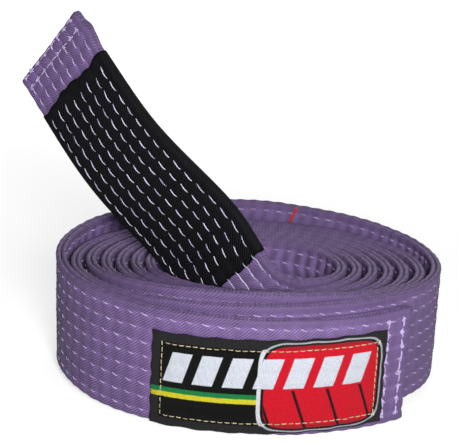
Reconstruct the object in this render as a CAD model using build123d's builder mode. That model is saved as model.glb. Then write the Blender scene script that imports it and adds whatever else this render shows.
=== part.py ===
from build123d import *
import math
import os

os.makedirs("parts", exist_ok=True)

# ---------------------------------------------------------------- sizes, mm
belt_width = 45.0
belt_thick = 3.9            # two covers and the plies between them
cover_thick = 0.55          # one layer of the canvas cover
fold_bevel = 0.7            # bevel of the covers' folded edges
hem_width = 7.0             # cover turned in along each edge
seam_gap = 0.1              # half the groove between the two folded edges
ply_gap = 0.1               # air between neighbouring layers

row_count = 8               # lengthwise quilting rows
row_pitch = 5.4
thread_wide = 0.8
thread_high = 0.25
thread_gap = 0.05

# The coil: each turn's outer face, measured from the coil's centre.
# Position is counted in turns, clockwise seen from above, from near the outer end:
# .15 is the front, .40 the left, .65 the back and .90 the right of a turn.
coil_start, coil_turns = 0.0205, 6.9     # outer end, and where the free end leaves the coil
front_at, left_at, back_at, right_at = 0.15, 0.40, 0.65, 0.90
front_out, front_pitch = 71.2, 4.77
left_out, left_pitch = 79.0, 5.95
back_out, back_pitch = 52.8, 4.76
right_out, right_pitch = 75.5, 6.30
back_slack, back_slack_span = 5.0, 0.30     # the outer turn stands off at the back

# Stretches that stand a little higher than their neighbours: place, span, height.
raised_stretches = [
    (0.0, 0.40, 0.6), (0.60, 0.25, 6.8), (1.08, 0.20, 4.4), (2.15, 0.17, 6.8), (3.15, 0.15, 2.8),
]
settle = 0.15               # how far the lower fold flattens on the ground

# The free end rises out of the coil: centre points and the width's direction.
tail_points = [
    (28.5, -22.5, 22.8), (9.5, -30.5, 26.4), (-5.8, -30.8, 37.4), (-18.6, -25.2, 55.4),
    (-36.4, -20.2, 73.2), (-53.6, -14.0, 89.4), (-68.8, -6.4, 108.1), (-83.4, 3.4, 126.6),
]
tail_widths = [
    (0.10, 0.0, 1.0), (0.31, -0.08, 0.94), (0.50, -0.27, 0.82), (0.58, -0.38, 0.72),
    (0.59, -0.43, 0.68), (0.58, -0.46, 0.67), (0.57, -0.48, 0.67), (0.55, -0.49, 0.67),
]
tip_direction = (-0.61, 0.42, 0.75)

bar_from_tip = 18.5         # rank bar: black sleeve round the free end
bar_length = 100.0
bar_inside = 0.4            # sleeve's inner wall off the cover, over the quilting
bar_thick = 0.5
bar_overhang = 0.15

label_from_end = 11.8
label_length = 86.0
label_low, label_high = -21.4, 15.2
label_off = 0.35            # label's back off the cover, over the quilting
label_thick = 0.6
label_seam_inset = 4.0

end_rows = (4.3, 10.9)      # cross rows at the outer end, from its edge
tip_rows = (1.2, 5.8)       # cross rows at the inner tip
cross_low, cross_high = -20.5, 20.5
cross_off = 0.35

tack_at = 0.69              # red marker on the inside of the outer turn
tack_high = 8.0
tack_wide = 1.2
tack_height = 18.2
tack_tilt = 15

stations_per_turn = 24
span_stations = 12
tail_steps = 20


# ---------------------------------------------------------------- the belt's path
def coil_point(turn):
    angle = math.radians(-90 - 360 * (turn - front_at))
    half = belt_thick / 2
    front = -front_out + front_pitch * (turn - front_at) + half
    left = -left_out + left_pitch * (turn - left_at) + half
    slack = back_slack * math.exp(-(((turn - back_at) / back_slack_span) ** 2))
    back = back_out - back_pitch * (turn - back_at) + slack - half
    right = right_out - right_pitch * (turn - right_at) - half
    lift = -settle
    for place, span, height in raised_stretches:
        lift += height * math.exp(-(((turn - place) / span) ** 2))
    x = (right + left) / 2 + (right - left) / 2 * math.cos(angle)
    y = (front + back) / 2 + (back - front) / 2 * math.sin(angle)
    return Vector(x, y, belt_width / 2 + lift)


def station(centre, along, across):
    """Section plane: x out of the coil, y across the belt's width, z along it."""
    along = along.normalized()
    return Plane(origin=centre, x_dir=across.cross(along), z_dir=along)


def coil_station(turn):
    step = 0.0005
    along = coil_point(turn + step) - coil_point(turn - step)
    return station(coil_point(turn), along, Vector(0, 0, 1))


coil_end = coil_point(coil_turns)
coil_end_along = coil_station(coil_turns).z_dir
half_width = belt_width / 2
tail_tops = [
    Vector(*p) + Vector(*w).normalized() * half_width for p, w in zip(tail_points, tail_widths)
]

tail_ends = [coil_end_along, tip_direction]

with BuildLine() as tail:
    tail_centre = Spline([coil_end] + tail_points, tangents=tail_ends, tangent_scalars=[1, 1])
    tail_top = Spline(
        [coil_end + Vector(0, 0, half_width)] + tail_tops,
        tangents=tail_ends,
        tangent_scalars=[1, 1],
    )
tail_length = tail_centre.length


def tail_station(distance):
    """Section plane on the free end, by distance from where it leaves the coil."""
    t = distance / tail_length
    centre = tail_centre @ t
    return station(centre, tail_centre % t, (tail_top @ t) - centre)


def distance_to_turn(distance):
    """Turn position of a point that far along the belt from the outer end."""
    turn, travelled, step = coil_start, 0.0, 0.001
    while travelled < distance:
        travelled += (coil_point(turn + step) - coil_point(turn)).length
        turn += step
    return turn


def coil_stretch(start, end, steps):
    """Stations on the outer turn between two distances from the outer end."""
    first, last = distance_to_turn(start), distance_to_turn(end)
    return [coil_station(first + (last - first) * i / steps) for i in range(steps + 1)]


def tail_stretch(start, end, steps):
    """Stations on the free end between two distances from its tip."""
    return [tail_station(tail_length - end + (end - start) * i / steps) for i in range(steps + 1)]


coil_steps = round(coil_turns * stations_per_turn)
coil_share = (coil_turns - coil_start) / coil_steps
whole_belt = [coil_station(coil_start + coil_share * i) for i in range(coil_steps)]
whole_belt += tail_stretch(0, tail_length, tail_steps)


# ---------------------------------------------------------------- shaping
def box_outline(low_x, high_x, low_y, high_y):
    return [(low_x, low_y), (high_x, low_y), (high_x, high_y), (low_x, high_y)]


def edge_line(stations, x, y):
    """Line that one corner of a section draws as it follows the belt."""
    with BuildLine() as edge:
        Spline([plane.origin + plane.x_dir * x + plane.y_dir * y for plane in stations])
    return edge.edge()


def end_wire(plane, outline):
    corners = [plane.origin + plane.x_dir * x + plane.y_dir * y for x, y in outline]
    return Wire.make_polygon(corners, close=True)


def sides(stations, outline):
    """Faces between neighbouring corners, cut into spans of half a turn."""
    faces = []
    first, last = 0, len(stations) - 1
    while first < last:
        stop = first + span_stations if last - first >= 1.5 * span_stations else last
        lines = [edge_line(stations[first:stop + 1], x, y) for x, y in outline]
        for i, line in enumerate(lines):
            faces.append(Face.make_surface_from_curves(line, lines[(i + 1) % len(lines)]))
        first = stop
    return faces


def follow_belt(stations, outline, hole=None):
    """A solid that follows the belt with the same section all along, hollow if asked."""
    faces = sides(stations, outline)
    holes = []
    if hole:
        faces += sides(stations, hole)
        holes = [hole]
    for plane in (stations[0], stations[-1]):
        faces.append(Face(end_wire(plane, outline), [end_wire(plane, h) for h in holes]))
    return Solid(Shell(faces))


def on_both_faces(stations, off, high, low_y, high_y):
    """The same thread on the outward and on the inward face."""
    low, high = belt_thick / 2 + off, belt_thick / 2 + off + high
    return [
        follow_belt(stations, box_outline(low, high, low_y, high_y)),
        follow_belt(stations, box_outline(-high, -low, low_y, high_y)),
    ]


def row_height(index):
    return ((row_count - 1) / 2 - index) * row_pitch


def save(name, pieces):
    """One named sub-part from the pieces it is made of."""
    with BuildPart() as sub_part:
        add(pieces, mode=Mode.REPLACE)
    sub_part.part.label = name
    export_step(sub_part.part, f"parts/{name}.step")


# ---------------------------------------------------------------- covers
# A strip of canvas: flat web, both edges folded over and turned in as hems.
out_x = belt_thick / 2
web_x = out_x - cover_thick
hem_x = seam_gap + cover_thick
edge_y = half_width
inner_y = edge_y - cover_thick
hem_y = edge_y - hem_width

cover_outline = [
    (out_x, -edge_y + fold_bevel), (out_x, edge_y - fold_bevel), (out_x - fold_bevel, edge_y),
    (seam_gap, edge_y), (seam_gap, hem_y), (hem_x, hem_y), (hem_x, inner_y),
    (web_x, inner_y), (web_x, -inner_y), (hem_x, -inner_y), (hem_x, -hem_y),
    (seam_gap, -hem_y), (seam_gap, -edge_y), (out_x - fold_bevel, -edge_y),
]
mirrored_outline = [(-x, y) for x, y in reversed(cover_outline)]

ground_depth = 20.0
ground_size = 400.0


def cover(outline):
    strip = follow_belt(whole_belt, outline)
    with BuildPart() as pressed:
        add(strip)
        # the lower fold is pressed flat where it bears on the ground
        with Locations((0, 0, -ground_depth / 2)):
            Box(ground_size, ground_size, ground_depth, mode=Mode.SUBTRACT)
    return pressed.part


save("cover_face_strip", [cover(cover_outline)])
save("cover_back_strip", [cover(mirrored_outline)])

# ---------------------------------------------------------------- plies
face_low = hem_x + ply_gap
face_high = web_x - ply_gap
face_y = inner_y - ply_gap
middle_x = seam_gap + cover_thick - ply_gap
middle_y = hem_y - ply_gap


def ply(low_x, high_x, reach):
    return follow_belt(whole_belt, box_outline(low_x, high_x, -reach, reach))


save("core_ply_face", [ply(face_low, face_high, face_y)])
save("core_ply_middle", [ply(-middle_x, middle_x, middle_y)])
save("core_ply_back", [ply(-face_high, -face_low, face_y)])

# ---------------------------------------------------------------- quilting
half_thread = thread_wide / 2
for index in range(row_count):
    low, high = row_height(index) - half_thread, row_height(index) + half_thread
    save(f"quilting_row_{index + 1}", on_both_faces(whole_belt, thread_gap, thread_high, low, high))

# ---------------------------------------------------------------- rank bar
bar_stations = tail_stretch(bar_from_tip, bar_from_tip + bar_length, 12)
bar_in_x = out_x + bar_inside
bar_out_x = bar_in_x + bar_thick
bar_in_y = edge_y + bar_overhang
bar_out_y = bar_in_y + bar_thick
bar_outside = box_outline(-bar_out_x, bar_out_x, -bar_out_y, bar_out_y)
bar_hollow = box_outline(-bar_in_x, bar_in_x, -bar_in_y, bar_in_y)
save("rank_bar_sleeve", [follow_belt(bar_stations, bar_outside, bar_hollow)])

bar_threads = []
bar_thread_off = bar_inside + bar_thick + thread_gap
for index in range(row_count):
    low, high = row_height(index) - half_thread, row_height(index) + half_thread
    bar_threads += on_both_faces(bar_stations, bar_thread_off, thread_high, low, high)
save("rank_bar_stitching", bar_threads)

# ---------------------------------------------------------------- label
label_x = out_x + label_off
label_end = label_from_end + label_length
label_stations = coil_stretch(label_from_end, label_end, 12)
label_outline = box_outline(label_x, label_x + label_thick, label_low, label_high)
save("label_patch", [follow_belt(label_stations, label_outline)])

seam_x = label_x + label_thick + thread_gap
seam_start = label_from_end + label_seam_inset
seam_end = label_end - label_seam_inset
seam_low = label_low + label_seam_inset
seam_high = label_high - label_seam_inset
seam_stations = coil_stretch(seam_start, seam_end, 12)
seam_runs = []
for edge in (seam_low, seam_high):
    outline = box_outline(seam_x, seam_x + thread_high, edge - half_thread, edge + half_thread)
    seam_runs.append(follow_belt(seam_stations, outline))
side_outline = box_outline(
    seam_x, seam_x + thread_high, seam_low + thread_wide, seam_high - thread_wide
)
for edge in (seam_start, seam_end):
    side_stations = coil_stretch(edge - half_thread, edge + half_thread, 2)
    seam_runs.append(follow_belt(side_stations, side_outline))
save("label_border_stitch", seam_runs)

# ---------------------------------------------------------------- cross rows
end_threads = []
for edge in end_rows:
    row = coil_stretch(edge - half_thread, edge + half_thread, 2)
    end_threads += on_both_faces(row, cross_off, thread_high, cross_low, cross_high)
save("outer_end_cross_stitch", end_threads)

tip_threads = []
for edge in tip_rows:
    row = tail_stretch(edge - half_thread, edge + half_thread, 2)
    tip_threads += on_both_faces(row, cross_off, thread_high, cross_low, cross_high)
save("inner_tip_cross_stitch", tip_threads)

# ---------------------------------------------------------------- red marker
tack_place = coil_station(tack_at)
tack_origin = (
    tack_place.origin + tack_place.y_dir * tack_height - tack_place.x_dir * (out_x + cross_off)
)
with BuildPart() as red_marker_tack:
    with BuildSketch(Plane(origin=tack_origin, x_dir=tack_place.z_dir, z_dir=-tack_place.x_dir)):
        Rectangle(tack_wide, tack_high, rotation=tack_tilt)
    extrude(amount=thread_high)
save("red_marker_tack", [red_marker_tack.part])
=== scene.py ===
import math

import bpy
import numpy as np
from mathutils import Matrix, Vector


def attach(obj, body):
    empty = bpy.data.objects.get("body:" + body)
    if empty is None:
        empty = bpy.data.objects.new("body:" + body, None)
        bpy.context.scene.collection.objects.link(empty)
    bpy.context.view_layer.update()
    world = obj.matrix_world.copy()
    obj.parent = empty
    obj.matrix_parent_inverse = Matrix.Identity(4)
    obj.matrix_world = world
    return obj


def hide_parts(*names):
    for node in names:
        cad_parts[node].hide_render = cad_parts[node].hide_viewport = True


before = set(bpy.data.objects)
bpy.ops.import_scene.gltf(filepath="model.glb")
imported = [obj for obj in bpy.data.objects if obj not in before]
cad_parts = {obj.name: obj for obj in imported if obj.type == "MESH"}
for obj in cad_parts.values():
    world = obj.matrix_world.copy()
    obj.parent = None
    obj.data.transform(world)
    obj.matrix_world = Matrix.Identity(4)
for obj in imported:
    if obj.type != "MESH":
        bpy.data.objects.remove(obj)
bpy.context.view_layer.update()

# Lengths below are in millimetres until a mesh is made.
MM = 0.001
rng = np.random.default_rng(7)

# ------------------------------------------------------------------ sizes
BELT_W = 45.0
EDGE = BELT_W / 2
CAD_T = 3.9                   # thickness the coil's layout was drawn with
HALF = 2.08                   # crown of the quilted panels, off the mid plane
LOBE = 1.0                    # rounding of each cover's folded edge
ROWS = 8
ROW_PITCH = 5.4
STITCH = 5.8                  # length of one stitch and its gap
BAR_FROM_TIP, BAR_LEN = 18.5, 100.0
LABEL_FROM_END, LABEL_LEN = 11.8, 86.0
LABEL_LOW, LABEL_HIGH = -21.4, 15.2
LABEL_SKEW = 1.1              # the label is sewn on a little askew
END_ROWS = (4.3, 10.9)
STEP = 1.25                   # ring spacing along the belt
FLOOR_GAP = 0.02              # nothing comes nearer to the floor than this
LINE_SAMPLES = 2001           # points along the free end's middle line

# Quilting: each row of stitches draws the cloth down, each needle hole a little more.
ROW_DEPTH, ROW_SPREAD = 0.66, 0.95
HOLE_SHARE = 0.34             # part of a row's depth that comes and goes with the holes
GATHER_MIN, GATHER_MAX = 0.28, 1.15
EDGE_FADE = 2.2               # the puckers die out this far from the belt's edges

# ------------------------------------------------------------------ path
COIL_START, COIL_TURNS = 0.0205, 6.9
FRONT, LEFT, BACK, RIGHT = 0.15, 0.40, 0.65, 0.90
RAISED = ((0.0, 0.40, 0.6), (0.60, 0.25, 6.8), (1.08, 0.20, 4.4), (2.15, 0.17, 6.8),
          (3.15, 0.15, 2.8))
TAIL = np.array([
    (28.5, -22.5, 22.8), (9.5, -30.5, 26.4), (-5.8, -30.8, 37.4), (-18.6, -25.2, 55.4),
    (-36.4, -20.2, 73.2), (-53.6, -14.0, 89.4), (-68.8, -6.4, 108.1), (-83.4, 3.4, 126.6)])
TAIL_W = np.array([
    (0.10, 0.0, 1.0), (0.31, -0.08, 0.94), (0.50, -0.27, 0.82), (0.58, -0.38, 0.72),
    (0.59, -0.43, 0.68), (0.58, -0.46, 0.67), (0.57, -0.48, 0.67), (0.55, -0.49, 0.67)])
TIP_DIR = np.array((-0.61, 0.42, 0.75))


def unit(v):
    return v / np.linalg.norm(v, axis=-1, keepdims=True)


def coil(u):
    a = np.radians(-90 - 360 * (u - FRONT))
    h = CAD_T / 2
    front = -71.2 + 4.77 * (u - FRONT) + h
    left = -79.0 + 5.95 * (u - LEFT) + h
    back = 52.8 - 4.76 * (u - BACK) + 5.0 * np.exp(-((u - BACK) / 0.3) ** 2) - h
    right = 75.5 - 6.3 * (u - RIGHT) - h
    lift = -0.15 + sum(t * np.exp(-((u - c) / w) ** 2) for c, w, t in RAISED)
    return np.stack([(right + left) / 2 + (right - left) / 2 * np.cos(a),
                     (front + back) / 2 + (back - front) / 2 * np.sin(a),
                     BELT_W / 2 + lift], -1)


def along(points):
    return np.r_[0, np.cumsum(np.linalg.norm(np.diff(points, axis=0), axis=1))]


def smooth_line(points, first, last):
    """Cubic spline through the points with given end directions, evenly sampled."""
    x = along(points)
    h = np.diff(x)
    d = np.diff(points, axis=0) / h[:, None]
    n = len(x)
    a, b = np.eye(n), np.zeros((n, 3))
    b[0], b[-1] = unit(first), unit(last)
    for i in range(1, n - 1):
        a[i, i - 1:i + 2] = h[i], 2 * (h[i - 1] + h[i]), h[i - 1]
        b[i] = 3 * (h[i] * d[i - 1] + h[i - 1] * d[i])
    m = np.linalg.solve(a, b)
    t = np.linspace(0, x[-1], LINE_SAMPLES * 4)
    i = np.clip(np.searchsorted(x, t, side="right") - 1, 0, n - 2)
    u, hh = ((t - x[i]) / h[i])[:, None], h[i][:, None]
    p = ((2 * u**3 - 3 * u**2 + 1) * points[i] + (u**3 - 2 * u**2 + u) * hh * m[i]
         + (3 * u**2 - 2 * u**3) * points[i + 1] + (u**3 - u**2) * hh * m[i + 1])
    s = along(p)
    even = np.linspace(0, s[-1], LINE_SAMPLES)
    return np.stack([np.interp(even, s, p[:, k]) for k in range(3)], -1)


turns = np.linspace(COIL_START, COIL_TURNS, 24001)
coil_line = coil(turns)
leave = unit(coil_line[-1] - coil_line[-2])
up = np.array((0.0, 0.0, 1.0))
tail_mid = smooth_line(np.vstack([coil_line[-1], TAIL]), leave, TIP_DIR)
tail_top = smooth_line(np.vstack([coil_line[-1] + up * EDGE, TAIL + unit(TAIL_W) * EDGE]),
                       leave, TIP_DIR)
line = np.vstack([coil_line, tail_mid[1:]])
cross = np.vstack([np.tile(up, (len(coil_line), 1)), unit(tail_top - tail_mid)[1:]])
dense_s = along(line)
TOTAL = dense_s[-1]

knots = np.linspace(0, TOTAL, int(TOTAL / 0.6) + 1)
pos = np.stack([np.interp(knots, dense_s, line[:, k]) for k in range(3)], -1)
wid = np.stack([np.interp(knots, dense_s, cross[:, k]) for k in range(3)], -1)
tan = unit(np.gradient(pos, knots, axis=0))
wid = unit(wid - (wid * tan).sum(1, keepdims=True) * tan)
nor = np.cross(wid, tan)
bend = -(np.gradient(tan, knots, axis=0) * nor).sum(1)
kernel = np.ones(25) / 25
bend = np.convolve(np.pad(bend, 12, mode="edge"), kernel, mode="valid")


def at(table, s):
    s = np.asarray(s)
    if table.ndim == 1:
        return np.interp(s, knots, table)
    return np.stack([np.interp(s, knots, table[:, k]) for k in range(3)], -1)


def place(s, w, n):
    """Point of the belt at s along, w across and n out of its mid plane, above the floor."""
    s, w, n = np.broadcast_arrays(s, w, n)
    point = at(pos, s) + w[..., None] * at(wid, s) + n[..., None] * at(nor, s)
    point[..., 2] = np.maximum(point[..., 2], FLOOR_GAP)
    return point


# ------------------------------------------------------------------ cloth surface
row_w = (np.arange(ROWS) - (ROWS - 1) / 2) * ROW_PITCH
row_phase = rng.uniform(-0.16, 0.16, ROWS)
waves = [(rng.uniform(0.02, 0.11), rng.uniform(-0.16, 0.16), rng.uniform(0, 6.28))
         for _ in range(9)]


def ripple(s, w):
    return sum(np.sin(a * s + b * w + c) for a, b, c in waves) / 3.0


def stitch_wave(s, w):
    """1 at the needle holes, -1 half way between them."""
    v = np.clip(w / ROW_PITCH + (ROWS - 1) / 2, 0, ROWS - 1)
    phase = np.interp(v, np.arange(ROWS), row_phase)
    return np.cos(2 * math.pi * (s / STITCH - phase))


def height(s, w, side):
    """How far the cloth stands off the mid plane on one side of the belt."""
    v = w / ROW_PITCH + (ROWS - 1) / 2
    near = np.abs(v - np.clip(np.round(v), 0, ROWS - 1)) * ROW_PITCH
    valley = np.exp(-((near / ROW_SPREAD) ** 2))
    pinch = stitch_wave(s, w)
    squeeze = np.clip(-side * at(bend, s), -0.03, 0.05)
    gather = GATHER_MIN + np.clip(40 * squeeze - 0.14, 0, GATHER_MAX)
    body = 1 - np.exp(-(((EDGE - np.abs(w)) / EDGE_FADE) ** 2))
    out = HALF - ROW_DEPTH * valley * (1 - HOLE_SHARE + HOLE_SHARE * pinch)
    out = out - gather * (0.5 + 0.5 * pinch) ** 2.5 * (1 - 0.35 * valley) * body
    return out + (0.10 * ripple(s, w) + 0.07 * ripple(s * 4.3 + 7, w * 5.1)) * body


# ------------------------------------------------------------------ meshes
def make_mesh(name, verts_mm, faces, uv=None):
    mesh = bpy.data.meshes.new(name)
    mesh.from_pydata((np.asarray(verts_mm) * MM).tolist(), [], faces)
    mesh.update()
    if uv is not None:
        layer = mesh.uv_layers.new(name="cloth")
        loops = np.empty(len(mesh.loops), dtype=np.int32)
        mesh.loops.foreach_get("vertex_index", loops)
        layer.data.foreach_set("uv", np.asarray(uv, dtype=np.float32)[loops].ravel())
    mesh.polygons.foreach_set("use_smooth", [True] * len(mesh.polygons))
    piece = bpy.data.objects.new(name, mesh)
    bpy.context.collection.objects.link(piece)
    return piece


def ring_faces(rings, size):
    faces = []
    for i in range(rings - 1):
        a, b = i * size, (i + 1) * size
        for j in range(size):
            k = (j + 1) % size
            faces.append((a + j, a + k, b + k, b + j))
    return faces


def tube(name, points, uv):
    """Closed tube from an array of rings, capped at both ends."""
    rings, size = points.shape[:2]
    faces = ring_faces(rings, size)
    faces.append(tuple(range(size))[::-1])
    faces.append(tuple(range((rings - 1) * size, rings * size)))
    return make_mesh(name, points.reshape(-1, 3), faces, uv.reshape(-1, 2))


def finish_piece(piece, material, slot, *nodes):
    piece.data.materials.append(material)
    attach(piece, "root")
    if nodes:
        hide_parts(*nodes)


# ------------------------------------------------------------------ materials
def new_material(name):
    material = bpy.data.materials.new(name)
    material.use_nodes = True
    tree = material.node_tree
    shader = tree.nodes["Principled BSDF"]
    return material, tree, shader


def add(tree, kind, **settings):
    node = tree.nodes.new(kind)
    for key, value in settings.items():
        if key in node.inputs:
            node.inputs[key].default_value = value
        else:
            setattr(node, key, value)
    return node


def math_node(tree, operation, a, b=None, clamp=False):
    node = tree.nodes.new("ShaderNodeMath")
    node.operation, node.use_clamp = operation, clamp
    for slot, value in ((0, a), (1, b)):
        if value is None:
            continue
        if isinstance(value, (int, float)):
            node.inputs[slot].default_value = value
        else:
            tree.links.new(value, node.inputs[slot])
    return node.outputs[0]


def mix_colour(tree, factor, a, b, blend="MIX"):
    node = tree.nodes.new("ShaderNodeMix")
    node.data_type, node.blend_type = "RGBA", blend
    for socket, value in ((node.inputs[0], factor), (node.inputs[6], a), (node.inputs[7], b)):
        if isinstance(value, (int, float, tuple)):
            socket.default_value = value
        else:
            tree.links.new(value, socket)
    return node.outputs[2]


def ramp(tree, value, stops):
    node = tree.nodes.new("ShaderNodeValToRGB")
    while len(node.color_ramp.elements) < len(stops):
        node.color_ramp.elements.new(0.5)
    for element, (place_, colour) in zip(node.color_ramp.elements, stops):
        element.position, element.color = place_, colour
    tree.links.new(value, node.inputs[0])
    return node.outputs[0]


def grey(v):
    return (v, v, v, 1.0)


TWILL_PITCH, YARN_PITCH = 0.88, 0.42          # diagonal lines and single yarns
WHITE = (1.0, 1.0, 1.0, 1.0)


def twill(name, dark, base, light, angle, relief, sheen, rough, spec, tint=WHITE):
    """Cotton drill: raised diagonal lines of yarn, mottled dye, paler worn folds."""
    material, tree, shader = new_material(name)
    links = tree.links
    coords = add(tree, "ShaderNodeUVMap", uv_map="cloth")
    turn = add(tree, "ShaderNodeMapping")
    turn.inputs["Rotation"].default_value = (0, 0, math.radians(-angle))
    links.new(coords.outputs[0], turn.inputs[0])
    warp = add(tree, "ShaderNodeTexNoise", Scale=0.35, Detail=2.0)
    links.new(coords.outputs[0], warp.inputs["Vector"])
    bent = add(tree, "ShaderNodeVectorMath", operation="MULTIPLY_ADD")
    bent.inputs[1].default_value = (0.5, 0.5, 0.0)
    links.new(warp.outputs["Color"], bent.inputs[0])
    links.new(turn.outputs[0], bent.inputs[2])
    wave = add(tree, "ShaderNodeTexWave", wave_type="BANDS", bands_direction="X",
               Scale=2 * math.pi / (20 * TWILL_PITCH), Distortion=0.0)
    links.new(bent.outputs[0], wave.inputs["Vector"])
    # single yarns crossing the diagonal lines
    yarn = add(tree, "ShaderNodeTexWave", wave_type="BANDS", bands_direction="Y",
               Scale=2 * math.pi / (20 * YARN_PITCH), Distortion=1.2)
    yarn.inputs["Detail Scale"].default_value = 2.0
    links.new(coords.outputs[0], yarn.inputs["Vector"])
    mottle = add(tree, "ShaderNodeTexNoise", Scale=0.07, Detail=5.0, Roughness=0.62)
    links.new(coords.outputs[0], mottle.inputs["Vector"])
    fibre = add(tree, "ShaderNodeTexNoise", Scale=2.6, Detail=3.0, Roughness=0.7)
    links.new(coords.outputs[0], fibre.inputs["Vector"])
    weave = math_node(tree, "MULTIPLY", wave.outputs["Fac"], 0.72)
    weave = math_node(tree, "ADD", weave, math_node(tree, "MULTIPLY", yarn.outputs["Fac"], 0.28))
    tone = math_node(tree, "ADD", math_node(tree, "MULTIPLY", weave, 0.55),
                     math_node(tree, "MULTIPLY", fibre.outputs["Fac"], 0.45))
    colour = ramp(tree, tone, ((0.12, dark), (0.5, base), (0.9, light)))
    patch = ramp(tree, mottle.outputs["Fac"], ((0.3, grey(0.86)), (0.7, grey(1.1))))
    colour = mix_colour(tree, 1.0, colour, patch, "MULTIPLY")
    # the folded edges are rubbed a little paler
    split = add(tree, "ShaderNodeSeparateXYZ")
    links.new(coords.outputs[0], split.inputs[0])
    reach = math_node(tree, "ABSOLUTE", split.outputs["Y"])
    worn = math_node(tree, "MULTIPLY", math_node(tree, "SUBTRACT", reach, EDGE - 1.6), 0.6, True)
    worn = math_node(tree, "MULTIPLY", worn, math_node(tree, "MULTIPLY", fibre.outputs["Fac"], 0.5))
    colour = mix_colour(tree, worn, colour, light)
    # painted shade: the colour is darkened in the creases, standing in for the shade that falls
    # there, and the ridges are rubbed paler
    geometry = add(tree, "ShaderNodeNewGeometry")
    crease_shade_and_ridge_wear = ramp(tree, geometry.outputs["Pointiness"],
                  ((0.44, grey(0.36)), (0.496, grey(0.95)), (0.57, grey(1.25))))
    colour = mix_colour(tree, 1.0, colour, crease_shade_and_ridge_wear, "MULTIPLY")
    links.new(colour, shader.inputs["Base Color"])
    shader.inputs["Roughness"].default_value = rough
    shader.inputs["Specular IOR Level"].default_value = spec
    shader.inputs["Sheen Weight"].default_value = sheen
    shader.inputs["Sheen Roughness"].default_value = 0.45
    shader.inputs["Sheen Tint"].default_value = tint
    relief_in = math_node(tree, "ADD", weave, math_node(tree, "MULTIPLY",
                                                        fibre.outputs["Fac"], 0.5))
    bump = add(tree, "ShaderNodeBump", Strength=0.85, Distance=relief * MM)
    links.new(relief_in, bump.inputs["Height"])
    links.new(bump.outputs[0], shader.inputs["Normal"])
    return material


def thread(name, base, light, rough=0.55):
    """Twisted sewing thread, each stitch of a slightly different tone."""
    material, tree, shader = new_material(name)
    links = tree.links
    coords = add(tree, "ShaderNodeTexCoord")
    twist = add(tree, "ShaderNodeTexNoise", Scale=1900.0, Detail=2.0, Roughness=0.6)
    links.new(coords.outputs["Object"], twist.inputs["Vector"])
    geometry = add(tree, "ShaderNodeNewGeometry")
    tone = math_node(tree, "ADD", math_node(tree, "MULTIPLY", twist.outputs["Fac"], 0.55),
                     math_node(tree, "MULTIPLY", geometry.outputs["Random Per Island"], 0.45))
    links.new(ramp(tree, tone, ((0.2, base), (0.8, light))), shader.inputs["Base Color"])
    shader.inputs["Roughness"].default_value = rough
    shader.inputs["Specular IOR Level"].default_value = 0.25
    shader.inputs["Sheen Weight"].default_value = 0.08
    shader.inputs["Sheen Roughness"].default_value = 0.4
    bump = add(tree, "ShaderNodeBump", Strength=0.6, Distance=0.12 * MM)
    links.new(twist.outputs["Fac"], bump.inputs["Height"])
    links.new(bump.outputs[0], shader.inputs["Normal"])
    return material


purple = twill("purple_drill", (0.026, 0.0155, 0.043, 1), (0.060, 0.0370, 0.094, 1),
               (0.106, 0.070, 0.154, 1), angle=52.0, relief=0.20, sheen=0.02, rough=0.66,
               spec=0.09, tint=(0.85, 0.75, 1.0, 1))
black = twill("black_drill", (0.0007, 0.0007, 0.0009, 1), (0.0020, 0.0020, 0.0025, 1),
              (0.0060, 0.0060, 0.0070, 1), angle=-48.0, relief=0.22, sheen=0.0, rough=0.75,
              spec=0.03)
lilac = thread("lilac_thread", (0.080, 0.057, 0.118, 1), (0.180, 0.143, 0.243, 1))
end_lilac = thread("end_lilac_thread", (0.100, 0.072, 0.145, 1), (0.225, 0.180, 0.300, 1))
pale = thread("pale_thread", (0.090, 0.082, 0.125, 1), (0.250, 0.240, 0.310, 1))
gold = thread("gold_thread", (0.080, 0.065, 0.030, 1), (0.200, 0.180, 0.110, 1), rough=0.45)
red_thread = thread("red_thread", (0.10, 0.003, 0.008, 1), (0.21, 0.010, 0.018, 1))

# ------------------------------------------------------------------ the two covers
face_w = np.unique(np.concatenate(
    [np.linspace(-EDGE + LOBE, EDGE - LOBE, 33)] + [row_w + d for d in (-1.1, -0.5, 0, 0.5, 1.1)]))
face_w = face_w[np.r_[True, np.diff(face_w) > 0.28]]
arc = np.radians(np.linspace(180, 12, 7))
ring_w = np.r_[EDGE - LOBE + LOBE * np.sin(arc), face_w[::-1],
               -(EDGE - LOBE + LOBE * np.sin(arc[::-1]))]
lobe_n = 0.5 + 0.5 * np.cos(arc)
ring_n = np.r_[lobe_n, np.ones(len(face_w)), lobe_n[::-1]]      # part of the full height

rings_s = np.linspace(0, TOTAL, int(TOTAL / STEP) + 1)
rings_s = np.unique(np.r_[rings_s, 0.35, 0.8, TOTAL - 0.35, TOTAL - 0.8])


def end_taper(s):
    """The cloth is folded in at both ends, so the belt rounds off there."""
    near = np.minimum(s, TOTAL - s)
    return 0.55 + 0.45 * np.sqrt(np.clip(1 - (1 - np.clip(near / 1.1, 0, 1)) ** 2, 0, 1))


bar_start, bar_stop = TOTAL - BAR_FROM_TIP - BAR_LEN, TOTAL - BAR_FROM_TIP


def bar_low(w):
    return bar_start + 6.5 * np.clip((w + 12) / 34, 0, 1)


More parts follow.
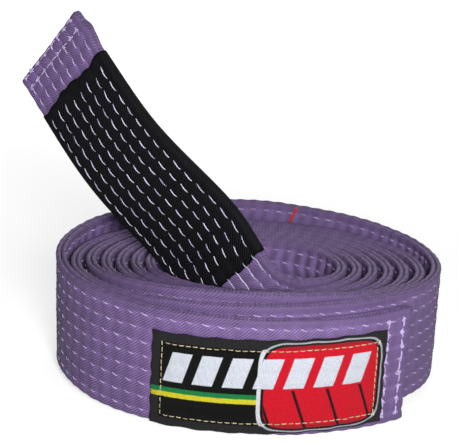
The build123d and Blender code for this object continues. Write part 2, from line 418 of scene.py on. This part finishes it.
GROOVE = 0.05
for side, name, nodes in ((1, "cover_face", ("cover_face_strip", "core_ply_face",
                                              "core_ply_middle")),
                          (-1, "cover_back", ("cover_back_strip", "core_ply_back"))):
    s = rings_s[:, None]
    w = np.broadcast_to(ring_w[None, :], (len(rings_s), len(ring_w))).copy()
    full = height(s, np.clip(w, -EDGE + LOBE, EDGE - LOBE), side) * end_taper(s)
    # the sleeve presses the cloth inside it flatter
    full = np.where((s > bar_low(w) + 2.5) & (s < bar_stop - 2.5), full - 0.32, full)
    n = GROOVE + (full - GROOVE) * ring_n[None, :]
    edge_wave = (0.16 * ripple(s * 1.7, w * 0 + 30 * side)
                 + 0.08 * ripple(s * 6.1, w * 0 + 9 * side) - 0.14 * stitch_wave(s, w))
    # the sleeve holds the edges straight
    edge_wave = np.where((s > bar_start - 2) & (s < bar_stop + 1), -0.25, edge_wave)
    w = w + np.sign(w) * edge_wave * np.clip((np.abs(w) - EDGE + 2.4) / 2.4, 0, 1)
    # the upper corner of the free end has been pulled out of square
    w = w + 1.9 * np.exp(-((s - TOTAL + 8.5) / 4.5) ** 2) * np.clip(w / EDGE, 0, 1) ** 2
    points = place(s, w, side * n)
    uv = np.stack([np.broadcast_to(s, w.shape), w], -1)
    if side < 0:
        points, uv = points[:, ::-1], uv[:, ::-1]
    cover = tube(name, points, uv)
    finish_piece(cover, purple, "cover_canvas", *nodes)


# ------------------------------------------------------------------ stitches
GRAIN_SIDES, GRAIN_RINGS = 5, 6
YARN_SIDES, YARN_RINGS = 6, 7


def grains(centres, length, radius, path):
    """Thread grains: path(s, t) gives w and n, with t from -1 to 1 along each grain."""
    t = np.linspace(-1, 1, GRAIN_RINGS)
    s = centres[:, None] + t[None, :] * length[:, None] / 2
    w, n = path(s, np.broadcast_to(t, s.shape))
    r = radius * np.sqrt(np.clip(1 - (0.93 * t) ** 2, 0.04, 1))[None, :]
    a = 2 * math.pi * np.arange(GRAIN_SIDES) / GRAIN_SIDES
    r = np.broadcast_to(r, s.shape)[..., None]
    wf = w[..., None] + r * np.cos(a)
    nf = n[..., None] + r * 0.8 * np.sin(a)
    sf = np.broadcast_to(s[..., None], wf.shape)
    return place(sf, wf, nf)


def grain_mesh(name, batches):
    verts, faces, start = [], [], 0
    for points in batches:
        count, rings, sides = points.shape[:3]
        verts.append(points.reshape(-1, 3))
        one = ring_faces(rings, sides)
        one = [tuple(reversed(f)) for f in one]
        one += [tuple(range(sides)), tuple(range((rings - 1) * sides, rings * sides))[::-1]]
        for k in range(count):
            base = start + k * rings * sides
            faces += [tuple(base + v for v in f) for f in one]
        start += count * rings * sides
    return make_mesh(name, np.vstack(verts), faces)


def row_grains(index, first, last, side, radius, lift, cover_height, share):
    """One row of stitches from first to last; share is how much of the pitch is thread."""
    hole = row_phase[index] * STITCH
    k = np.arange(math.ceil((first - hole) / STITCH), math.floor((last - hole) / STITCH))
    centres = hole + (k + 0.5) * STITCH + rng.normal(0, 0.12, len(k))
    length = STITCH * rng.uniform(share - 0.07, share + 0.07, len(k))
    drift = rng.normal(0, 0.13, len(k))[:, None]
    slant = (0.24 + rng.normal(0, 0.07, len(k)))[:, None]

    def path(s, t):
        w = row_w[index] + drift + side * slant * t + 0.10 * np.sin(math.pi * t)
        n = cover_height(s, w, side) + lift + 0.12 * (1 - t**2) - 0.14 * t**6
        return w, side * n
    return grains(centres, length, radius, path)


label_start, label_stop = LABEL_FROM_END, LABEL_FROM_END + LABEL_LEN
for index in range(ROWS):
    batches = []
    for side in (1, -1):
        first = label_stop if side > 0 and abs(row_w[index] + 2) < 19 else 3.0
        batches.append(row_grains(index, first, bar_low(row_w[index]), side, 0.27, 0.0, height, 0.50))
        batches.append(row_grains(index, bar_stop + 0.8, TOTAL - 1.0, side, 0.26, 0.0, height, 0.8))
    piece = grain_mesh(f"stitch_row_{index + 1}", batches)
    finish_piece(piece, lilac, "lilac_thread", f"quilting_row_{index + 1}")

# ------------------------------------------------------------------ rank bar
BAR_LIFT = 0.34


def bar_height(s, w, side):
    flat = 0.35 * HALF + 0.65 * height(s, w, side)
    return flat + BAR_LIFT + 0.05 * ripple(s * 1.9 + 40, w * 1.6)


bar_s = np.linspace(bar_start, bar_stop, int(BAR_LEN / 1.1) + 1)
side_arc = np.radians(np.linspace(90, -90, 11)[1:-1])
reach, BULGE = EDGE - 0.9, 1.3
bar_face = face_w[np.abs(face_w) < reach]
loop_w = np.r_[bar_face, reach + BULGE * np.cos(side_arc), bar_face[::-1],
               -(reach + BULGE * np.cos(side_arc))]
loop_side = np.r_[np.ones(len(bar_face)), np.sin(side_arc), -np.ones(len(bar_face)),
                  -np.sin(side_arc)]


def bar_ring(s, shrink):
    s = np.broadcast_to(s, (len(s), len(loop_w)))
    w = np.broadcast_to(loop_w, s.shape)
    clipped = np.clip(w, -reach, reach)
    top = bar_height(s, clipped, 1) - shrink
    bottom = bar_height(s, clipped, -1) - shrink
    n = np.where(loop_side >= 0, top * loop_side, bottom * loop_side)
    w = clipped + (w - clipped) * (1 - shrink / BULGE)
    return s, w, n


def bar_ends(w):
    """The sleeve's ends are turned under, the lower one askew, and run a little uneven."""
    low = bar_low(w) + 0.5 * np.sin(w * 0.32 + 0.6) + 0.25 * np.sin(w * 0.9 + 2.0)
    high = bar_stop + 0.7 * np.sin(w * 0.21 + 2.2) + 0.3 * np.sin(w * 0.75)
    return low, high


CLOTH = 0.27
share = ((bar_s - bar_start) / BAR_LEN)[:, None]
low, high = bar_ends(loop_w[None, :])
bar_along = low + (high - low) * share
outer = bar_ring(bar_s[:, None], 0.0)
inner = bar_ring(bar_s[:, None], CLOTH)
lip = 0.30
out_pts = place(bar_along, outer[1], outer[2])
in_pts = place(bar_along, inner[1], inner[2])
mid = bar_ring(bar_s[:, None], CLOTH / 2)
first_pts = place(bar_along[:1] - lip, mid[1][:1], mid[2][:1])
last_pts = place(bar_along[-1:] + lip, mid[1][-1:], mid[2][-1:])
strip = np.vstack([first_pts, out_pts, last_pts, in_pts[::-1]])
uv_s = np.vstack([bar_along[:1] - lip, bar_along, bar_along[-1:] + lip, bar_along[::-1]])
edge_v = reach + BULGE * (math.pi / 2 - side_arc)
loop_v = np.r_[bar_face, edge_v, bar_face[::-1], -edge_v]
rings, size = strip.shape[:2]
faces = ring_faces(rings, size)
for j in range(size):
    k = (j + 1) % size
    faces.append(((rings - 1) * size + j, (rings - 1) * size + k, k, j))
uv = np.stack([uv_s, np.broadcast_to(loop_v, uv_s.shape)], -1)
sleeve = make_mesh("rank_bar", strip.reshape(-1, 3), [f[::-1] for f in faces], uv.reshape(-1, 2))
finish_piece(sleeve, black, "bar_canvas", "rank_bar_sleeve")

batches = []
for index in range(ROWS):
    for side in (1, -1):
        batches.append(row_grains(index, bar_low(row_w[index]) + 1.0, bar_stop - 0.5, side,
                                  0.25, 0.10, bar_height, 0.86))
piece = grain_mesh("rank_bar_stitches", batches)
finish_piece(piece, pale, "lilac_thread", "rank_bar_stitching")

# ------------------------------------------------------------------ loose threads
def yarns(paths, radius):
    """Thin threads along (s, w, n) polylines of equal length, tapering at their ends."""
    rings = paths.shape[1]
    points = place(paths[..., 0], paths[..., 1], paths[..., 2])
    tangent = unit(np.gradient(points, axis=1) + 1e-9)
    one = unit(np.cross(tangent, np.array((0.37, -0.51, 0.78))))
    two = np.cross(tangent, one)
    t = np.linspace(-1, 1, rings)
    r = (radius * np.sqrt(np.clip(1 - (0.9 * t) ** 4, 0.05, 1)))[None, :, None, None]
    a = -2 * math.pi * np.arange(YARN_SIDES) / YARN_SIDES
    return (points[:, :, None, :] + r * (np.cos(a)[:, None] * one[:, :, None, :]
                                         + np.sin(a)[:, None] * two[:, :, None, :]))


def arched(s0, w0, s1, w1, surface, lift, bow=0.15):
    """Stitches from (s0, w0) to (s1, w1), their ends drawn into the cloth."""
    t = np.linspace(0, 1, YARN_RINGS)[None, :]
    s = s0[:, None] + (s1 - s0)[:, None] * t
    w = w0[:, None] + (w1 - w0)[:, None] * t
    arch = lift + bow * (1 - (2 * t - 1) ** 2) - 0.2 * (2 * t - 1) ** 6
    n = surface(s, w) + arch
    return s, w, n


CROSS_PITCH, CROSS_STITCH = 4.5, 3.8
KNOTS = 5                     # short tangled threads where a long row meets a cross row


def cross_row(s_at, side, low, high, surface, seed, radius):
    """A stitched row across the belt with small knots where the long rows meet it."""
    pick = np.random.default_rng(seed)
    starts = np.arange(low, high - 2.4, CROSS_PITCH)
    s0 = s_at + pick.normal(0, 0.15, len(starts))
    s1 = s_at + pick.normal(0, 0.15, len(starts))
    batches = [arched(s0, starts, s1, starts + CROSS_STITCH, surface, 0.05)]
    for w_at in row_w:
        angle = pick.uniform(0, math.pi, KNOTS)
        half = pick.uniform(0.4, 0.9, KNOTS)
        cs, cw = s_at + pick.normal(0, 0.35, KNOTS), w_at + pick.normal(0, 0.35, KNOTS)
        batches.append(arched(cs - half * np.cos(angle), cw - half * np.sin(angle),
                              cs + half * np.cos(angle), cw + half * np.sin(angle),
                              surface, 0.12, 0.28))
    s, w, n = (np.vstack([b[k] for b in batches]) for k in range(3))
    return yarns(np.stack([s, w, side * n], -1), radius)


for name, node, places_, first, yarn, radius in (
        ("outer_end_stitches", "outer_end_cross_stitch", END_ROWS, 11, end_lilac, 0.30),
        ("tip_stitches", "inner_tip_cross_stitch", (TOTAL - 5.8, TOTAL - 1.3), 21, end_lilac, 0.25)):
    batches = []
    for k, s_at in enumerate(places_):
        for side in (1, -1):
            batches.append(cross_row(s_at, side, -20.0, 20.0,
                                     lambda s, w, side=side: height(s, w, side),
                                     first + 2 * k + (side > 0), radius))
    finish_piece(grain_mesh(name, batches), yarn, "lilac_thread", node)

# the sewing thread runs on past the sleeve's lower end in long loose floats
floats = []
for index in range(ROWS):
    for side in (1, -1):
        t = np.linspace(0, 1, 9)
        length = rng.uniform(7.0, 10.5)
        end = bar_low(row_w[index])
        s = end + 1.2 - length * t
        w = (row_w[index] + rng.normal(0, 0.2)
             + 0.7 * side * np.sin(math.pi * t) * rng.uniform(0.3, 1))
        clear = np.where(s > end - 0.6, bar_height(s, w, side), height(s, w, side))
        n = side * (clear + 0.12 + 0.35 * np.sin(math.pi * t))
        floats.append(np.stack([s, w, n], -1))
finish_piece(grain_mesh("loose_floats", [yarns(np.array(floats), 0.22)]), pale, "lilac_thread")

# ------------------------------------------------------------------ label
LABEL_MID = (LABEL_LOW + LABEL_HIGH) / 2
LABEL_HALF = (LABEL_HIGH - LABEL_LOW) / 2
SEAM_IN = 4.0
PANEL = (61.6, LABEL_MID, 22.6, 17.6)        # red field: middle and half sizes
BAR_LOW, BAR_HIGH, BAR_SLANT, BAR_PITCH = -3.4, 8.2, 0.30, 10.7
BAR_HALF, BAR_FIRST, BAR_COUNT = 3.6, 2.9, 7


def edge_ramp(value, soft):
    return np.clip(value / soft + 0.5, 0, 1)


def label_shape(u, v):
    """Raised parts of the weave, in millimetres from the label's left edge."""
    inset = np.minimum(np.minimum(u, LABEL_LEN - u), LABEL_HALF - np.abs(v - LABEL_MID))
    hem = edge_ramp(SEAM_IN - 0.5 - inset, 0.5)
    ring = ((np.abs(u - PANEL[0]) / PANEL[2]) ** 6 + (np.abs(v - PANEL[1]) / PANEL[3]) ** 6)
    ring = ring ** (1 / 6)
    panel = edge_ramp((1 - ring) * 20, 0.6)
    shifted = (u - BAR_FIRST - BAR_SLANT * (v - BAR_LOW)) / BAR_PITCH
    across = np.abs(shifted - np.floor(shifted) - 0.5) * BAR_PITCH
    bars = edge_ramp(BAR_HALF - across, 0.4) * (shifted > 0) * (shifted < BAR_COUNT)
    bars = bars * edge_ramp(v - BAR_LOW, 0.4) * edge_ramp(BAR_HIGH - v, 0.4)
    stripes = edge_ramp(2.1 - np.abs(v + 7.7), 0.5) * (1 - panel)
    return inset, 0.16 * hem + 0.10 * panel + 0.13 * bars + 0.10 * stripes


def skewed(u, v):
    """Height on the belt of a point of the label."""
    return v + LABEL_SKEW * (2 * u / LABEL_LEN - 1)


def label_top(s, v):
    """Outer surface of the label above the belt's mid plane."""
    u = label_stop - s
    w = skewed(u, v)
    inset, raised = label_shape(u, v)
    base = 0.72 * HALF + 0.28 * height(s, np.clip(w, -EDGE + LOBE, EDGE - LOBE), 1)
    groove = 0.22 * np.exp(-((inset - SEAM_IN) / 0.55) ** 2)
    round_off = 0.45 * np.exp(-np.clip(inset, 0, None) / 0.55)
    return base + 0.92 + raised - groove - round_off + 0.05 * ripple(s * 2.2 + 9, w * 2)


cols = np.unique(np.r_[0.0, 0.25, 0.6, np.linspace(1.1, LABEL_LEN - 1.1, 175),
                       LABEL_LEN - 0.6, LABEL_LEN - 0.25, LABEL_LEN])
rows_ = np.unique(np.r_[LABEL_LOW, LABEL_LOW + 0.25, LABEL_LOW + 0.6,
                        np.linspace(LABEL_LOW + 1.1, LABEL_HIGH - 1.1, 68),
                        LABEL_HIGH - 0.6, LABEL_HIGH - 0.25, LABEL_HIGH])
FRAY, FRAY_REACH = 0.22, 3.0  # the cut edges wander this much, dying out inwards
u_grid, v_grid = np.meshgrid(cols, rows_, indexing="ij")
s_grid = label_stop - u_grid
from_side = np.minimum(u_grid, LABEL_LEN - u_grid)
from_end = LABEL_HALF - np.abs(v_grid - LABEL_MID)
frayed_u = FRAY * np.sin(v_grid * 0.9) * np.clip(1 - from_side / FRAY_REACH, 0, 1)
frayed_v = FRAY * np.sin(u_grid * 0.55 + 1) * np.clip(1 - from_end / FRAY_REACH, 0, 1)
top_n = label_top(s_grid, v_grid)
w_grid = skewed(u_grid, v_grid)
under_n = np.minimum(height(s_grid, np.clip(w_grid, -EDGE + LOBE, EDGE - LOBE), 1) + 0.12,
                     top_n - 0.25)
top_pts = place(s_grid + frayed_u, w_grid + frayed_v, top_n)
under_pts = place(s_grid + frayed_u, w_grid + frayed_v, under_n)
nu, nv = u_grid.shape
index = np.arange(nu * nv).reshape(nu, nv)
offset = nu * nv
faces = []
for i in range(nu - 1):
    for j in range(nv - 1):
        a, b, c, d = index[i, j], index[i + 1, j], index[i + 1, j + 1], index[i, j + 1]
        faces.append((int(a), int(b), int(c), int(d)))
        faces.append((int(d + offset), int(c + offset), int(b + offset), int(a + offset)))
border = np.r_[index[:-1, 0], index[-1, :-1], index[:0:-1, -1], index[0, :0:-1]]
for a, b in zip(border, np.roll(border, -1)):
    faces.append((int(b), int(a), int(a + offset), int(b + offset)))
uv = np.stack([u_grid, v_grid], -1).reshape(-1, 2)
label = make_mesh("label", np.vstack([top_pts.reshape(-1, 3), under_pts.reshape(-1, 3)]), faces,
                  np.vstack([uv, uv]))


def label_material():
    """Woven badge: charcoal hem, black ground, two stripes, slanted bars, red field."""
    material, tree, shader = new_material("woven_label")
    links = tree.links
    coords = add(tree, "ShaderNodeUVMap", uv_map="cloth")
    split = add(tree, "ShaderNodeSeparateXYZ")
    links.new(coords.outputs[0], split.inputs[0])
    u, v = split.outputs["X"], split.outputs["Y"]

    def calc(operation, a, b=None, clamp=False):
        return math_node(tree, operation, a, b, clamp)

    def soft(value, width):
        return calc("ADD", calc("MULTIPLY", value, 1 / width), 0.5, True)

    def distance(value, middle):
        return calc("ABSOLUTE", calc("SUBTRACT", value, middle))

    jitter = add(tree, "ShaderNodeTexNoise", Scale=1.7, Detail=3.0, Roughness=0.7)
    links.new(coords.outputs[0], jitter.inputs["Vector"])
    ragged = calc("MULTIPLY", calc("SUBTRACT", jitter.outputs["Fac"], 0.5), 0.5)
    pick = add(tree, "ShaderNodeTexWave", wave_type="BANDS", bands_direction="Y",
               Scale=2 * math.pi / (20 * 0.36), Distortion=0.6)
    links.new(coords.outputs[0], pick.inputs["Vector"])
    warp = add(tree, "ShaderNodeTexWave", wave_type="BANDS", bands_direction="X",
               Scale=2 * math.pi / (20 * 0.42), Distortion=1.6)
    links.new(coords.outputs[0], warp.inputs["Vector"])
    weave = calc("ADD", calc("MULTIPLY", pick.outputs["Fac"], 0.5),
                 calc("MULTIPLY", warp.outputs["Fac"], 0.5))
    speck = ramp(tree, calc("ADD", calc("MULTIPLY", weave, 0.4),
                            calc("MULTIPLY", jitter.outputs["Fac"], 0.6)),
                 ((0.25, grey(0.55)), (0.55, grey(1.0)), (0.8, grey(1.45))))
    from_side = calc("SUBTRACT", LABEL_LEN / 2, distance(u, LABEL_LEN / 2))
    from_end = calc("SUBTRACT", LABEL_HALF, distance(v, LABEL_MID))
    inset = calc("MINIMUM", from_side, from_end)
    ring = calc("ADD", calc("POWER", calc("DIVIDE", distance(u, PANEL[0]), PANEL[2]), 6.0),
                calc("POWER", calc("DIVIDE", distance(v, PANEL[1]), PANEL[3]), 6.0))
    ring = calc("POWER", ring, 1 / 6)
    ring = calc("ADD", ring, calc("MULTIPLY", ragged, 0.02))
    outline = soft(calc("SUBTRACT", 0.030, distance(ring, 1.0)), 0.012)
    panel = soft(calc("SUBTRACT", 0.925, ring), 0.015)
    dark_gap = soft(calc("SUBTRACT", 1.0, ring), 0.015)
    tilt_ = calc("SUBTRACT", calc("ADD", u, calc("MULTIPLY", v, 0.34)), 6.0)
    cell = calc("FRACT", calc("DIVIDE", tilt_, 12.4))
    grooves = soft(calc("SUBTRACT", 0.045, distance(cell, 0.5)), 0.03)
    grooves = calc("MULTIPLY", grooves, soft(calc("SUBTRACT", -4.2, v), 0.4))
    leaning = calc("MULTIPLY", calc("SUBTRACT", v, BAR_LOW), BAR_SLANT)
    shifted = calc("DIVIDE", calc("SUBTRACT", calc("SUBTRACT", u, BAR_FIRST), leaning), BAR_PITCH)
    across = calc("MULTIPLY", distance(calc("FRACT", shifted), 0.5), BAR_PITCH)
    bars = soft(calc("SUBTRACT", BAR_HALF, across), 0.25)
    bars = calc("MULTIPLY", bars, calc("GREATER_THAN", shifted, 0.0))
    bars = calc("MULTIPLY", bars, calc("LESS_THAN", shifted, float(BAR_COUNT)))
    for limit in (calc("SUBTRACT", v, BAR_LOW), calc("SUBTRACT", BAR_HIGH, v)):
        bars = calc("MULTIPLY", bars, soft(limit, 0.25))
    reach = calc("ADD", v, ragged)
    green = soft(calc("SUBTRACT", 0.95, distance(reach, -6.8)), 0.3)
    yellow = soft(calc("SUBTRACT", 0.95, distance(reach, -8.7)), 0.3)
    green = calc("MULTIPLY", green, calc("LESS_THAN", u, PANEL[0]))
    yellow = calc("MULTIPLY", yellow, calc("LESS_THAN", u, PANEL[0]))
    colour = mix_colour(tree, green, (0.0012, 0.0012, 0.0011, 1), (0.003, 0.072, 0.020, 1))
    colour = mix_colour(tree, yellow, colour, (0.215, 0.195, 0.008, 1))
    colour = mix_colour(tree, dark_gap, colour, (0.002, 0.002, 0.002, 1))
    colour = mix_colour(tree, panel, colour, (0.205, 0.0022, 0.0068, 1))
    colour = mix_colour(tree, calc("MULTIPLY", grooves, panel), colour, (0.005, 0.002, 0.0025, 1))
    colour = mix_colour(tree, outline, colour, (0.215, 0.225, 0.240, 1))
    colour = mix_colour(tree, bars, colour, (0.215, 0.225, 0.250, 1))
    hem = soft(calc("SUBTRACT", SEAM_IN - 0.7, calc("ADD", inset, ragged)), 0.5)
    hem = calc("MULTIPLY", hem, calc("SUBTRACT", 1.0, calc("MULTIPLY", green, 0.9)))
    hem = calc("MULTIPLY", hem, calc("SUBTRACT", 1.0, calc("MULTIPLY", dark_gap, 0.6)))
    hem = calc("MULTIPLY", hem, calc("SUBTRACT", 1.0, calc("MULTIPLY", yellow, 0.9)))
    colour = mix_colour(tree, hem, colour, (0.0062, 0.0062, 0.0066, 1))
    colour = mix_colour(tree, 1.0, colour, speck, "MULTIPLY")
    links.new(colour, shader.inputs["Base Color"])
    shader.inputs["Roughness"].default_value = 0.62
    shader.inputs["Specular IOR Level"].default_value = 0.03
    shader.inputs["Sheen Weight"].default_value = 0.01
    shader.inputs["Sheen Roughness"].default_value = 0.5
    bump = add(tree, "ShaderNodeBump", Strength=0.9, Distance=0.2 * MM)
    fuzz = calc("ADD", weave, calc("MULTIPLY", jitter.outputs["Fac"], 1.2))
    links.new(fuzz, bump.inputs["Height"])
    links.new(bump.outputs[0], shader.inputs["Normal"])
    return material


finish_piece(label, label_material(), "label_weave", "label_patch")

seam_pitch, seam_stitch = 2.5, 1.9
seam_low, seam_high = LABEL_LOW + SEAM_IN, LABEL_HIGH - SEAM_IN
seam_first, seam_last = label_start + SEAM_IN, label_stop - SEAM_IN
runs = []
for w_at in (seam_low, seam_high):
    starts = np.arange(seam_first, seam_last - 1.0, seam_pitch)
    level = w_at + rng.normal(0, 0.05, len(starts))
    ends = level + rng.normal(0, 0.06, len(starts))
    runs.append(arched(starts, level, starts + seam_stitch, ends, label_top, 0.16, 0.10))
for s_at in (seam_first, seam_last):
    starts = np.arange(seam_low, seam_high - 1.0, seam_pitch)
    level = s_at + rng.normal(0, 0.05, len(starts))
    ends = level + rng.normal(0, 0.06, len(starts))
    runs.append(arched(level, starts, ends, starts + seam_stitch, label_top, 0.16, 0.10))
batches = [yarns(np.stack([s, skewed(label_stop - s, w), n], -1), 0.20) for s, w, n in runs]
finish_piece(grain_mesh("label_seam", batches), gold, "gold_thread", "label_border_stitch")

# ------------------------------------------------------------------ red marker
marker_s = float(np.interp(0.69, turns, along(coil_line)))
marker_w = 18.2 + np.linspace(-4.0, 4.0, 9)
marker = np.stack([marker_s + 1.4 * np.linspace(-1, 1, 9) + 0.2 * np.sin(marker_w),
                   marker_w, -(height(np.full(9, marker_s), marker_w, -1) + 0.25)], -1)
batches = [yarns(marker[None] + np.array((shift, 0, 0)), 0.33) for shift in (-0.4, 0.05, 0.45)]
finish_piece(grain_mesh("red_marker", batches), red_thread, "red_thread", "red_marker_tack")

# ------------------------------------------------------------------ staging
floor_mesh = bpy.data.meshes.new("floor")
FLOOR_HALF = 6
floor_corners = [(x * FLOOR_HALF, y * FLOOR_HALF, 0)
                 for x, y in ((-1, -1), (1, -1), (1, 1), (-1, 1))]
floor_mesh.from_pydata(floor_corners, [], [(0, 1, 2, 3)])
floor = bpy.data.objects.new("floor", floor_mesh)
bpy.context.collection.objects.link(floor)
floor_material, floor_tree, floor_shader = new_material("pale_floor")
floor_shader.inputs["Base Color"].default_value = (0.20, 0.20, 0.201, 1)
floor_shader.inputs["Roughness"].default_value = 0.9
floor_shader.inputs["Specular IOR Level"].default_value = 0.1
floor_shader.inputs["Emission Color"].default_value = (1.0, 1.0, 1.0, 1)
# the backdrop stays as pale far from the lamps as it is beside the belt
floor_coords = add(floor_tree, "ShaderNodeTexCoord")
floor_reach = add(floor_tree, "ShaderNodeVectorMath", operation="LENGTH")
floor_glow = add(floor_tree, "ShaderNodeMapRange")
for socket, value in (("From Min", 0.15), ("From Max", 0.75), ("To Min", 0.62), ("To Max", 0.92)):
    floor_glow.inputs[socket].default_value = value
floor_tree.links.new(floor_coords.outputs["Object"], floor_reach.inputs[0])
floor_tree.links.new(floor_reach.outputs["Value"], floor_glow.inputs["Value"])
floor_tree.links.new(floor_glow.outputs["Result"], floor_shader.inputs["Emission Strength"])
floor_mesh.materials.append(floor_material)


def area_light(name, location, target, size, power):
    light = bpy.data.lights.new(name, "AREA")
    light.shape, light.size, light.energy = "DISK", size, power
    lamp = bpy.data.objects.new(name, light)
    bpy.context.collection.objects.link(lamp)
    lamp.location = location
    lamp.rotation_euler = (Vector(target) - Vector(location)).to_track_quat("-Z", "Y").to_euler()


area_light("key", (0.045, -0.44, 0.21), (0.0, 0, 0.045), 0.12, 7.2)
area_light("back_fill", (0.15, 0.85, 0.40), (0.0, 0, 0.06), 0.50, 5.0)

sun = bpy.data.lights.new("overhead", "SUN")
sun.energy, sun.angle = 1.8, math.radians(35)
overhead = bpy.data.objects.new("overhead", sun)
bpy.context.collection.objects.link(overhead)
overhead.rotation_euler = (math.radians(-6), 0, 0)

world = bpy.data.worlds.new("studio")
bpy.context.scene.world = world
world.use_nodes = True
world.node_tree.nodes["Background"].inputs[0].default_value = (0.98, 0.98, 1.0, 1)
world.node_tree.nodes["Background"].inputs[1].default_value = 0.15
bpy.context.scene.view_settings.view_transform = "Standard"

# Camera: 47 cm in front of the belt, looking down about 18 degrees, rolled slightly.
tilt, distance, roll = 0.311, 470.6, 0.042
aim = np.array((-10.3, 0.0, 58.5))
back = np.array((0.0, -math.cos(tilt), math.sin(tilt)))
eye = aim + back * distance
right = np.array((1.0, 0.0, 0.0))
above = np.cross(back, right)
right, above = (math.cos(roll) * right + math.sin(roll) * above,
                -math.sin(roll) * right + math.cos(roll) * above)
camera_data = bpy.data.cameras.new("camera")
camera_data.sensor_fit, camera_data.sensor_width = "HORIZONTAL", 36.0
camera_data.lens = 90.888
camera_data.clip_start = 0.01
camera = bpy.data.objects.new("camera", camera_data)
bpy.context.collection.objects.link(camera)
pose = Matrix.Identity(4)
for k in range(3):
    pose[k][0], pose[k][1], pose[k][2], pose[k][3] = right[k], above[k], back[k], eye[k] * MM
camera.matrix_world = pose
bpy.context.scene.camera = camera
